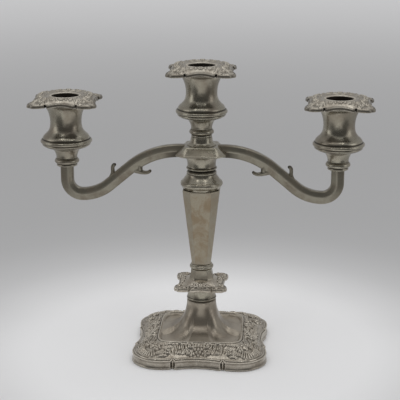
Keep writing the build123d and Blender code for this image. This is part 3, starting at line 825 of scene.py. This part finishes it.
def lobedOutline(o, step):
    # one eighth of the outline is a hollow middle panel, a notch, and a lobe up to the corner; it is mirrored about
    # the diagonal and turned to the other three sides. Columns 0-1 are the edge with a round bead in the notch,
    # 2-3 the edge with a pointed notch, and 4-5 the edge with no notch
    half, notch, gap, radius = o["half"], o["notch"], o["notchWidth"], o["bead"]
    panelEnd = half - o["waist"] + o["panelRise"]
    panel = smoothLine([
        (0, half - o["waist"]), (notch * 0.5, half - o["waist"] + o["panelRise"] * 0.3), (notch - gap, panelEnd),
    ])
    lobe = smoothLine([
        (notch + gap, o["lobeStart"]), ((notch + o["crown"]) / 2, half - 0.35 * (half - o["lobeStart"])),
        (o["crown"], half), ((o["crown"] + o["corner"]) / 2 + o["shoulder"], half - 0.3 * (half - o["corner"])),
        (o["corner"], o["corner"]),
    ])
    t = np.linspace(-math.pi / 2, math.pi / 2, 11)
    base = half - o["cusp"]
    beadX = np.concatenate([[notch - 0.9 * gap], notch + radius * np.sin(t), [notch + 0.9 * gap]])
    beadY = np.concatenate([[base - 0.3], base + radius * np.cos(t), [base - 0.3]])
    pointX = np.linspace(notch - 0.9 * gap, notch + 0.9 * gap, 13)
    share = (pointX - notch + gap) / (2 * gap)
    smoothY = panelEnd + (o["lobeStart"] - panelEnd) * share
    pointY = smoothY + (base - 0.5 - smoothY) * (1 - np.abs(2 * share - 1)) ** 0.8
    notchPart = np.column_stack([beadX, beadY, pointX, pointY, pointX, smoothY])
    eighth = np.vstack([np.tile(panel, 3), notchPart, np.tile(lobe, 3)])
    swap = [1, 0, 3, 2, 5, 4]
    quarter = np.vstack([eighth, eighth[-2::-1, swap]])
    ring = []
    for k in range(4):
        c, s = round(math.cos(k * math.pi / 2)), round(math.sin(k * math.pi / 2))
        ring.append(np.column_stack([
            part for m in (0, 2, 4)
            for part in (quarter[:, m] * c + quarter[:, m + 1] * s, quarter[:, m + 1] * c - quarter[:, m] * s)
        ]))
    ring = np.vstack(ring)
    keep = np.linalg.norm(ring - np.roll(ring, 1, 0), axis=1) > 1e-6
    return softened(evenLine(ring[keep], step * math.sqrt(3), closed=True), 1)


def ringAt(outline, radius, power):
    # the rounded square of that half width, at the outline's own angles
    angle = np.arctan2(outline[:, 1], outline[:, 0])
    c, s = np.cos(angle), np.sin(angle)
    r = radius * (np.abs(c) ** power + np.abs(s) ** power) ** (-1 / power)
    return np.stack([r * c, r * s], 1)


def shiftedIn(outline, distance):
    # the outline moved towards the middle along its own normal
    tangent = np.roll(outline, -2, 0) - np.roll(outline, 2, 0)
    tangent /= np.linalg.norm(tangent, axis=1, keepdims=True)
    inward = np.stack([tangent[:, 1], -tangent[:, 0]], 1)
    inward *= np.sign(-(inward * outline).sum(1, keepdims=True))
    return outline + softened(inward, 3) * distance


baseOutline = {
    "half": 54.6, "waist": 4.0, "panelRise": 3.5, "notch": 20.1, "notchWidth": 1.7, "bead": 0.9, "cusp": 3.0,
    "lobeStart": 53.7, "crown": 32.5, "corner": 47.9, "shoulder": 1.0,
}
baseShape = {
    "inner": 34.2, "innerPower": 7.0, "rim": 7.4, "band": 2.1, "bandTop": 8.4, "crest": 16.4, "relief": 1.8,
    "floor": 0.5, "wall": 1.8,
}
baseStamps = [
    ("bump", 1.0, (0.0, 39.1, 1.35)), ("bump", 1.0, (2.6, 39.5, 1.3)),
    ("bump", 0.95, (0.0, 42.0, 1.3)), ("bump", 1.0, (2.8, 42.2, 1.3)), ("bump", 0.9, (5.2, 43.4, 1.1)),
    ("bump", 1.0, (1.5, 44.6, 1.3)), ("bump", 0.95, (4.0, 45.7, 1.2)), ("bump", 0.85, (0.0, 46.8, 1.1)),
    ("leaf", 0.75, (0.0, 36.4, 90, 3.6, 1.1, 0.0, 2)),
    ("scroll", 1.05, (6.9, 38.9, 3.8, -67, -1, 0.85, 1.5)),
    ("scroll", 1.0, (7.6, 45.2, 2.3, 120, 1, 0.75, 1.2)),
    ("leaf", 0.95, (10.4, 43.9, 68, 6.0, 1.5, 0.1, 3)),
    ("leaf", 1.1, (13.0, 41.9, 99, 10.5, 1.35, -0.08, 3)),
    ("leaf", 1.1, (17.9, 42.2, 86, 11.0, 1.4, 0.06, 3)),
    ("arc", 0.95, (15.5, 39.2, 2.5, -175, -5)),
    ("leaf", 0.9, (15.4, 46.2, 2, 4.5, 1.2, 0.0, 3)),
    ("bump", 0.8, (20.4, 37.4, 1.3)), ("bump", 0.8, (15.5, 42.4, 0.8)),
    ("leaf", 0.9, (27.4, 37.4, 8, 13.0, 1.9, 0.12, 7)),
    ("leaf", 0.85, (24.9, 41.1, 14, 9.0, 1.6, -0.12, 5)),
    ("scroll", 1.05, (24.2, 45.6, 2.9, 250, 1, 0.8, 1.4)),
    ("leaf", 1.05, (31.2, 46.9, 4, 9.5, 2.1, 0.15, 6)),
    ("leaf", 1.0, (28.8, 49.6, 6, 8.0, 1.2, 0.15, 4)),
    ("flower", 1.15, (33.6, 41.4, 3.4, 5, 18)),
    ("leaf", 0.9, (36.8, 36.4, 22, 6.0, 1.6, 0.1, 4)),
    ("fan", 1.05, (37.6, 37.6, 5.6, 13.4, 11, 45, 62)),
    ("bump", 0.95, (37.8, 37.8, 2.6)),
]


def baseBorder(o, b, stamps):
    # rows: up the wall, over the rim, up the smooth band, in across the chased border to its crest, then back under.
    # The border's height is bandTop plus (crest - bandTop) times a rounded ramp, plus relief times the ornament
    outline = lobedOutline(o, 0.4)
    wall, rim, plain = outline[:, 0:2], outline[:, 2:4], outline[:, 4:6]
    cut = np.linalg.norm(plain - rim, axis=1)
    inner = ringAt(plain, b["inner"], b["innerPower"])
    rows = []
    for inset, height in ((-0.5, b["floor"]), (-0.75, b["floor"] + 0.35), (-0.6, b["floor"] + 0.9),
                          (-0.25, b["floor"] + 1.5), (0.0, b["floor"] + 2.6), (0.1, b["rim"] - 2.6),
                          (0.15, b["rim"] - 1.5)):
        rows.append(rowAt(shiftedIn(wall, inset), height))
    for inset, height in ((0.1, b["rim"] - 1.1), (-0.3, b["rim"] - 0.8), (-0.45, b["rim"] - 0.4),
                          (-0.3, b["rim"]), (0.1, b["rim"] + 0.2), (0.5, b["rim"] + 0.15), (0.8, b["rim"] - 0.05)):
        rows.append(rowAt(shiftedIn(rim, inset), height + 0.5 * cut))
    bandEnd = shiftedIn(plain, b["band"])
    bandStart = shiftedIn(rim, 1.1)
    for share in (0.0, 0.2, 0.45, 0.7, 0.9, 1.0):
        rise = b["rim"] + 0.1 + (b["bandTop"] - b["rim"]) * share + 0.35 * math.sin(math.pi * share)
        rows.append(rowAt(bandStart + (bandEnd - bandStart) * share, rise + 0.5 * cut * (1 - share)))
    for share in np.linspace(0.015, 1, 60):
        ring = bandEnd + (inner - bandEnd) * share
        x, y = ring[:, 0], ring[:, 1]
        slope = b["bandTop"] + (b["crest"] - b["bandTop"]) * (1 - (1 - share) ** 1.3)
        groove = -0.5 * math.exp(-((share / 0.02) ** 2)) - 0.55 * math.exp(-(((share - 0.93) / 0.016) ** 2))
        bead = 0.5 * math.exp(-(((share - 0.985) / 0.018) ** 2))
        depth = b["relief"] * min(1, max(0, (share - 0.03) / 0.04)) * min(1, max(0, (0.9 - share) / 0.04))
        rows.append(rowAt(ring, slope + groove + bead + depth * (ornament(x, y, stamps, 0.1) - 0.25)))
    for inset, height in ((0.45, b["crest"] - 0.35), (0.9, b["crest"] - 1.1), (1.0, b["crest"] - 2.2)):
        rows.append(rowAt(inner * (1 - inset / b["inner"]), height))
    back = shiftedIn(plain, b["band"] + 1)
    rows.append(rowAt(inner * 0.5 + back * 0.5, b["crest"] - 6.0))
    rows.append(rowAt(back, b["bandTop"] - 3.0))
    rows.append(rowAt(shiftedIn(plain, o["cusp"] + b["wall"]), b["floor"]))
    return surfaceMesh("baseBorder", np.array(rows), flip=True)


finished(baseBorder(baseOutline, baseShape, baseStamps), "candlestick", ["base"], metals["chased"])
print("base border chased")

footShape = {
    # distance out, strap's height, corner's height, squareness, strap's half width, its bevel's outer edge
    "stations": [
        (12.05, 41.5, 41.5, 2.0, 4.9, 7.6), (12.3, 37.7, 37.7, 2.0, 5.0, 7.8), (12.75, 35.0, 35.0, 2.1, 5.2, 8.0),
        (13.25, 32.4, 32.3, 2.5, 5.4, 8.3), (13.9, 30.0, 29.5, 3.0, 5.5, 8.5), (15.3, 26.6, 25.4, 3.5, 5.6, 8.8),
        (17.3, 23.4, 21.6, 3.8, 5.7, 9.2), (20.0, 21.0, 18.2, 4.2, 6.1, 10.0), (22.6, 19.4, 16.2, 4.7, 6.8, 11.2),
        (25.2, 18.4, 15.1, 5.2, 7.4, 12.6), (28.0, 17.6, 14.5, 5.8, 7.9, 14.2), (30.6, 16.9, 14.2, 6.3, 8.2, 15.6),
        (32.5, 16.4, 14.5, 6.8, 8.3, 16.6), (33.5, 16.0, 15.5, 7.0, 8.4, 17.1), (34.0, 15.2, 15.2, 7.0, 8.5, 17.3),
    ],
    "columns": 760, "wireHeight": 0.24, "wireWidth": 0.4, "outerLightening": 0.26,
}


def baseFoot(f):
    # plan: rounded squares, from a circle at the top to the ledge. Height: the corner's line, plus the strap's
    # extra height times its cross-section, which is 1 on its face, falls along the bevel, and is 0 outside that;
    # a fine wire runs along each edge of the face
    table = smoothLine(f["stations"], 6)
    angle = fullTurn(f["columns"])
    out, strap, corner, power, half, bevel = (table[:, k:k + 1] for k in range(6))
    c, s = np.abs(np.cos(angle))[None, :], np.abs(np.sin(angle))[None, :]
    r = out * (c**power + s**power) ** (-1 / power)
    lateral = np.minimum(c, s) * r
    ramp = np.clip((bevel - lateral) / (bevel - half), 0, 1)
    section = 0.6 * ramp + 0.4 * ramp * ramp * (3 - 2 * ramp)
    shown = np.clip((out - 13.0) / 1.2, 0, 1) * np.clip((32 - out) / 6, 0, 1)
    wire = f["wireHeight"] * np.exp(-(((lateral - half) / f["wireWidth"]) ** 2)) * shown
    h = corner + (strap - corner) * section + wire
    outer = np.stack([r * np.cos(angle), r * np.sin(angle), h], 2)
    rings = []
    for radius, height in ((11.6, 42.0), (2.6, 42.0), (2.6, 40.6), (10.6, 40.0), (11.4, 34.0), (13.0, 27.0),
                           (17.0, 19.0), (24.0, 12.4), (31.0, 11.8), (32.5, 12.2)):
        rings.append(np.stack([radius * np.cos(angle), radius * np.sin(angle), height + 0 * angle], 1))
    grid = np.concatenate([outer[::-1], np.array(rings)], 0)
    paintedLightAndWear = np.zeros(grid.shape[:2])
    # the foot is made lighter and more matte from 22 mm out
    paintedLightAndWear[: len(outer)] = -f["outerLightening"] * np.clip((out[::-1] - 22) / 6, 0, 1)
    return surfaceMesh("baseFoot", grid, paintedLightAndWear=paintedLightAndWear)


finished(baseFoot(footShape), "candlestick", ["base"], metals["footSide"])
print("foot raised")

trayOutline = {
    "half": 21.8, "waist": 2.9, "panelRise": 0.5, "notch": 8.9, "notchWidth": 1.1, "bead": 0.6, "cusp": 2.6,
    "lobeStart": 20.6, "crown": 15.8, "corner": 19.6, "shoulder": 0.9,
}
trayStamps = [
    ("leaf", 0.9, (0.0, 15.9, 90, 5.6, 1.5, 0.0, 3)),
    ("scroll", 1.1, (3.4, 15.9, 1.9, 200, 1, 0.55, 1.3)),
    ("scroll", 1.0, (6.7, 15.6, 1.5, -20, -1, 0.5, 1.3)),
    ("bump", 0.9, (1.9, 17.7, 0.7)), ("bump", 0.9, (5.2, 17.9, 0.7)), ("bump", 0.8, (5.1, 13.6, 0.7)),
    ("leaf", 1.0, (9.9, 17.6, 86, 5.5, 0.8, 0.0, 3)),
    ("scroll", 1.0, (12.9, 18.2, 1.7, 210, 1, 0.5, 1.2)),
    ("leaf", 0.6, (16.4, 18.4, 30, 4.5, 1.1, 0.2, 4)),
]
panOutline = {
    "half": 27.7, "waist": 2.6, "panelRise": 0.4, "notch": 12.1, "notchWidth": 1.0, "bead": 0.55, "cusp": 4.2,
    "lobeStart": 26.2, "crown": 19.8, "corner": 24.8, "shoulder": 1.0,
}
panStamps = [
    ("flower", 1.2, (0.0, 20.3, 2.3, 6, 0)),
    ("bump", 0.9, (3.6, 21.3, 0.9)), ("bump", 0.8, (3.9, 18.8, 0.8)),
    ("flower", 1.0, (7.2, 20.4, 2.0, 5, 40)),
    ("leaf", 0.9, (10.2, 19.9, 82, 5.6, 1.1, 0.1, 3)),
    ("leaf", 0.8, (3.0, 16.4, 8, 6.0, 1.1, 0.1, 4)),
    ("leaf", 0.7, (9.2, 15.6, 24, 5.6, 1.1, 0.1, 4)),
    ("scroll", 1.1, (15.0, 22.8, 2.4, 230, 1, 0.65, 1.3)),
    ("leaf", 0.9, (14.4, 18.4, 50, 6.0, 1.4, -0.1, 4)),
    ("leaf", 1.0, (20.2, 24.4, 10, 6.5, 1.5, 0.15, 4)),
    ("fan", 0.9, (18.2, 18.2, 2.6, 8.6, 7, 45, 58)),
    ("bump", 0.9, (18.2, 18.2, 1.4)),
]


def plate(name, centre, outline, stamps, p, turn=0.0):
    # rows go out from the inner ring over the top, round the turned-down edge, and back underneath. The top's
    # height falls by drop over a smooth step between domeFrom and domeTo, plus a ring-shaped bulge,
    # bulge * exp(-((r - bulgeAt) / bulgeWidth)^2), and the ornament lies on it
    ring = lobedOutline(outline, p["step"])
    edge, plain = ring[:, 2:4], ring[:, 4:6]
    hole = ringAt(plain, p["hole"], 2.0)
    shoulder = shiftedIn(plain, p["turnedEdge"])
    middle = np.clip((outline["notch"] - np.minimum(np.abs(plain[:, 0]), np.abs(plain[:, 1]))) / 1.5, 0, 1)
    rows = []
    for share in np.linspace(0, 1, p["rows"]):
        line = hole + (shoulder - hole) * share
        x, y = line[:, 0], line[:, 1]
        r = np.hypot(x, y)
        away = np.clip((r - p["domeFrom"]) / (p["domeTo"] - p["domeFrom"]), 0, 1)
        height = p["top"] - p["drop"] * (0.5 * away + 0.5 * away * away * (3 - 2 * away))
        height = height - p["panelFold"] * middle * np.clip(share * 3 - 2, 0, 1) ** 2
        height = height + p["lift"] * np.clip((r - p["domeTo"]) / 6, 0, 1)
        depth = p["relief"] * np.clip((r - p["reliefFrom"]) / 2, 0, 1) * min(1, max(0, (0.99 - share) / 0.04))
        groove = -p["groove"] * math.exp(-(((share - 0.985) / 0.02) ** 2))
        lip = p["lip"] * math.exp(-((share / 0.05) ** 2))
        height = height + p["bulge"] * np.exp(-(((r - p["bulgeAt"]) / p["bulgeWidth"]) ** 2))
        rows.append(rowAt(line, height + depth * (ornament(x, y, stamps, 0.08) - 0.2) + lip + groove))
    last = rows[-1][:, 2]
    topRows = len(rows)
    for turned in np.radians([12, 26, 40, 54, 68, 80, 90]):
        line = shoulder + (edge - shoulder) * math.sin(turned)
        rows.append(rowAt(line, last + 0.15 - p["edgeDepth"] * 0.75 * (1 - math.cos(turned))))
    for inset, rise in ((0, 0.35), (0.15, 0), (0.5, 0)):
        rows.append(rowAt(shiftedIn(edge, inset) if inset else edge, last - p["edgeDepth"] + rise))
    inside = hole + (shiftedIn(plain, p["turnedEdge"] + 0.6) - hole)
    for share in (1.0, 0.85, 0.6, 0.4, 0.2, 0.0):
        line = hole + (inside - hole) * share
        rows.append(rowAt(line, rows[int(share * (p["rows"] - 1))][:, 2] - p["thick"]))
    grid = np.array(rows)
    c, s = math.cos(math.radians(turn)), math.sin(math.radians(turn))
    x, y = grid[..., 0] * c - grid[..., 1] * s, grid[..., 0] * s + grid[..., 1] * c
    grid = np.stack([x + centre[0], y + centre[1], grid[..., 2]], 2)
    # painted shade: the turned-down edge is darkened, and the underside too
    paintedLightAndWear = np.zeros(len(rows))
    paintedLightAndWear[topRows - 1:] = p["edgeShade"]
    paintedLightAndWear[topRows + 8:] = 0.2
    return surfaceMesh(name, grid, paintedLightAndWear=paintedLightAndWear[:, None] * np.ones(grid.shape[1]))


trayShape = {
    "step": 0.25, "rows": 54, "hole": 2.6, "domeFrom": 9.0, "domeTo": 19.0, "reliefFrom": 11.5, "thick": 1.3,
    "drop": 4.2, "lift": 0.5, "relief": 1.1, "groove": 0.35, "lip": 0.0, "edgeDepth": 2.8, "turnedEdge": 1.0,
    "panelFold": 0.7, "bulge": 0.5, "bulgeAt": 14.5, "bulgeWidth": 3.0, "edgeShade": 0.1, "top": highOf("tray") + 4.4,
}
tray = plate("knopTray", axisOf("tray"), trayOutline, trayStamps, trayShape)
finished(tray, "candlestick", ["tray"], metals["chased"])

panShape = {
    "step": 0.33, "rows": 52, "hole": 11.53, "domeFrom": 15.0, "domeTo": 28.5, "reliefFrom": 14.0, "thick": 1.2,
    "drop": 3.0, "lift": 0.0, "relief": 0.9, "groove": 0.35, "lip": 0.3, "edgeDepth": 2.5, "turnedEdge": 0.9,
    "panelFold": 1.5, "bulge": 2.6, "bulgeAt": 21.0, "bulgeWidth": 5.4, "edgeShade": 0.25,
}
panTurns = {"left": 1.0, "centre": 1.2, "right": -2.5}
for side in lights:
    shape = dict(panShape, top=highOf(side + "_pan") + 0.1)
    pan = plate(side + "Pan", axisOf(side + "_pan"), panOutline, panStamps, shape, panTurns[side])
    finished(pan, side + "_pan_body", [side + "_pan"], metals["pans"])
print("tray and pans pressed")


# what stays as the model has it: the fixings, the closing plate and the felt

for node in ("bridge", "tie_washer", "tie_nut", "tie_rod", "cup_screws", "cup_washers", "base_plate"):
    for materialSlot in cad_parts[node].material_slots:
        materialSlot.material = metals["steel"]
felt = baizeMaterial()
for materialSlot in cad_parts["baize"].material_slots:
    materialSlot.material = felt


# studio: pale floor with a painted pool of light, soft light from the top and sides, two small lamps, and glowing
# cards in front, which are seen only in the metal, where they paint reflections of a dark room and a pale floor

studio = {
    "floorSize": 9.0,
    # distance from the middle in metres, and the paper's tone there, which paints a pool of light round the middle,
    # darker paper out to about half a metre, and paler again further out
    "floorToneAndPaintedPool": [(0.0, 0.85), (0.14, 0.84), (0.18, 0.72), (0.24, 0.53), (0.33, 0.42), (0.5, 0.42), (0.93, 0.45),
                   (1.54, 0.56), (2.2, 0.72), (3.0, 0.84)],
    "worldColour": (0.40, 0.40, 0.405, 1), "worldStrength": 1.0, "fillStrength": 0.95, "fillAngle": 1.4,
    "top": {"place": (0.0, 0.05, 1.15), "size": (1.0, 1.0), "power": 2.3},
    "left": {"place": (-0.85, -0.22, 0.42), "size": (0.4, 0.6), "power": 0.5},
    "right": {"place": (0.85, -0.22, 0.42), "size": (0.4, 0.6), "power": 0.5},
    "lampLeft": {"place": (-0.26, -0.3, 0.84), "size": (0.07, 0.06), "power": 0.13},
    "lampRight": {"place": (0.26, -0.3, 0.84), "size": (0.07, 0.06), "power": 0.13},
    # glowing cards that only the metal's reflections see, which paint reflections into it: two opposite corners
    # (along, forward, up) in metres, and a tone
    "cards": {
        "darkRoom": ((-0.62, 0.468, 0.088), (0.62, 0.468, 0.69), 0.075),
        "dimLeft": ((-0.95, 0.468, 0.002), (-0.62, 0.468, 0.6), 0.17),
        "dimRight": ((0.62, 0.468, 0.002), (0.95, 0.468, 0.6), 0.17),
        "paleFront": ((-0.2, 0.466, 0.002), (0.2, 0.466, 0.088), 0.8),
        "paleMat": ((-0.2, 0.15, 0.0015), (0.2, 0.466, 0.0015), 0.7),
        "darkLeft": ((-0.62, 0.466, 0.002), (-0.24, 0.466, 0.088), 0.1),
        "darkRight": ((0.24, 0.466, 0.002), (0.62, 0.466, 0.088), 0.1),
        "darkMatLeft": ((-0.95, 0.16, 0.0015), (-0.24, 0.466, 0.0015), 0.14),
        "darkMatRight": ((0.24, 0.16, 0.0015), (0.95, 0.466, 0.0015), 0.14),
    },
    "camera": {"distance": 0.95, "height": 0.392, "azimuth": 3.5, "aimHeight": 0.1273, "aimAside": -0.0013,
               "lens": 108.45},
}


def paperWithPaintedPool(poolTones):
    # pale paper with a painted pool of light: its tone changes with the distance from the middle of the floor
    material, tree, shader = newMaterial("floorPaperPaintedPool")
    place = addNode(tree, "ShaderNodeTexCoord").outputs["Object"]
    away = addNode(tree, "ShaderNodeVectorMath", {0: place}, operation="LENGTH").outputs["Value"]
    ramp = addNode(tree, "ShaderNodeValToRGB", {"Fac": maths(tree, "DIVIDE", away, poolTones[-1][0])})
    ramp.color_ramp.interpolation = "B_SPLINE"
    stops = ramp.color_ramp.elements
    while len(stops) < len(poolTones):
        stops.new(0.5)
    for stop, (distance, tone) in zip(stops, poolTones):
        stop.position = distance / poolTones[-1][0]
        stop.color = (tone, tone, tone * 1.005, 1)
    feed(tree, shader, {"Base Color": ramp.outputs["Color"], "Roughness": 0.9, "Specular IOR Level": 0.1})
    return material


def sheet(name, corners, material):
    # a flat four-sided sheet
    mesh = bpy.data.meshes.new(name)
    mesh.from_pydata(corners, [], [(0, 1, 2, 3)])
    mesh.materials.append(material)
    obj = linked(name, mesh)
    return obj


def card(name, first, second, tone, azimuth):
    # a glowing even-toned rectangle in front of the object, seen only in reflections, where it paints a reflection
    # into the metal; along and forward are turned to face the camera
    c, s = math.cos(math.radians(azimuth)), math.sin(math.radians(azimuth))
    (x0, y0, z0), (x1, y1, z1) = first, second
    corners = [(x0, y0, z0), (x1, y0, z0), (x1, y1, z1), (x0, y1, z1)]
    material, tree, shader = newMaterial(name)
    feed(tree, shader, {
        "Base Color": (0, 0, 0, 1), "Roughness": 1.0, "Specular IOR Level": 0.0,
        "Emission Color": (tone, tone, tone, 1), "Emission Strength": 1.0,
    })
    obj = sheet(name, [(x * c + y * s, x * s - y * c, z) for x, y, z in corners], material)
    obj.visible_camera = False
    obj.visible_diffuse = False
    obj.visible_shadow = False


def aimed(obj, place, target):
    # the object stands at place and its -Z axis points at the target
    obj.location = place
    obj.rotation_euler = (Vector(target) - Vector(place)).to_track_quat("-Z", "Y").to_euler()


def areaLight(name, light):
    # a rectangular light that points at the object's middle
    data = bpy.data.lights.new(name, "AREA")
    data.shape = "RECTANGLE"
    data.size, data.size_y = light["size"]
    data.energy = light["power"]
    aimed(linked(name, data), light["place"], (0, 0, 0.12))


size = studio["floorSize"]
sheet("floor", [(-size, -size, 0), (size, -size, 0), (size, size, 0), (-size, size, 0)],
      paperWithPaintedPool(studio["floorToneAndPaintedPool"]))
for name, (first, second, tone) in studio["cards"].items():
    card(name, first, second, tone, studio["camera"]["azimuth"])
world = bpy.data.worlds.new("studio")
bpy.context.scene.world = world
world.use_nodes = True
feed(world.node_tree, world.node_tree.nodes["Background"], {0: studio["worldColour"], 1: studio["worldStrength"]})
for name in ("top", "left", "right", "lampLeft", "lampRight"):
    areaLight(name + "Light", studio[name])
fill = linked("fillLight", bpy.data.lights.new("fillLight", "SUN"))
fill.data.energy = studio["fillStrength"]
fill.data.angle = studio["fillAngle"]
fill.visible_glossy = False

view = studio["camera"]
turn = math.radians(view["azimuth"])
cameraData = bpy.data.cameras.new("camera")
cameraData.lens = view["lens"]
cameraData.sensor_width = 36.0
cameraData.clip_start = 0.01
camera = linked("camera", cameraData)
eye = (view["distance"] * math.sin(turn), -view["distance"] * math.cos(turn), view["height"])
aimed(camera, eye, (view["aimAside"] * math.cos(turn), view["aimAside"] * math.sin(turn), view["aimHeight"]))
bpy.context.scene.camera = camera
bpy.context.scene.view_settings.view_transform = "Standard"
print("studio set up")
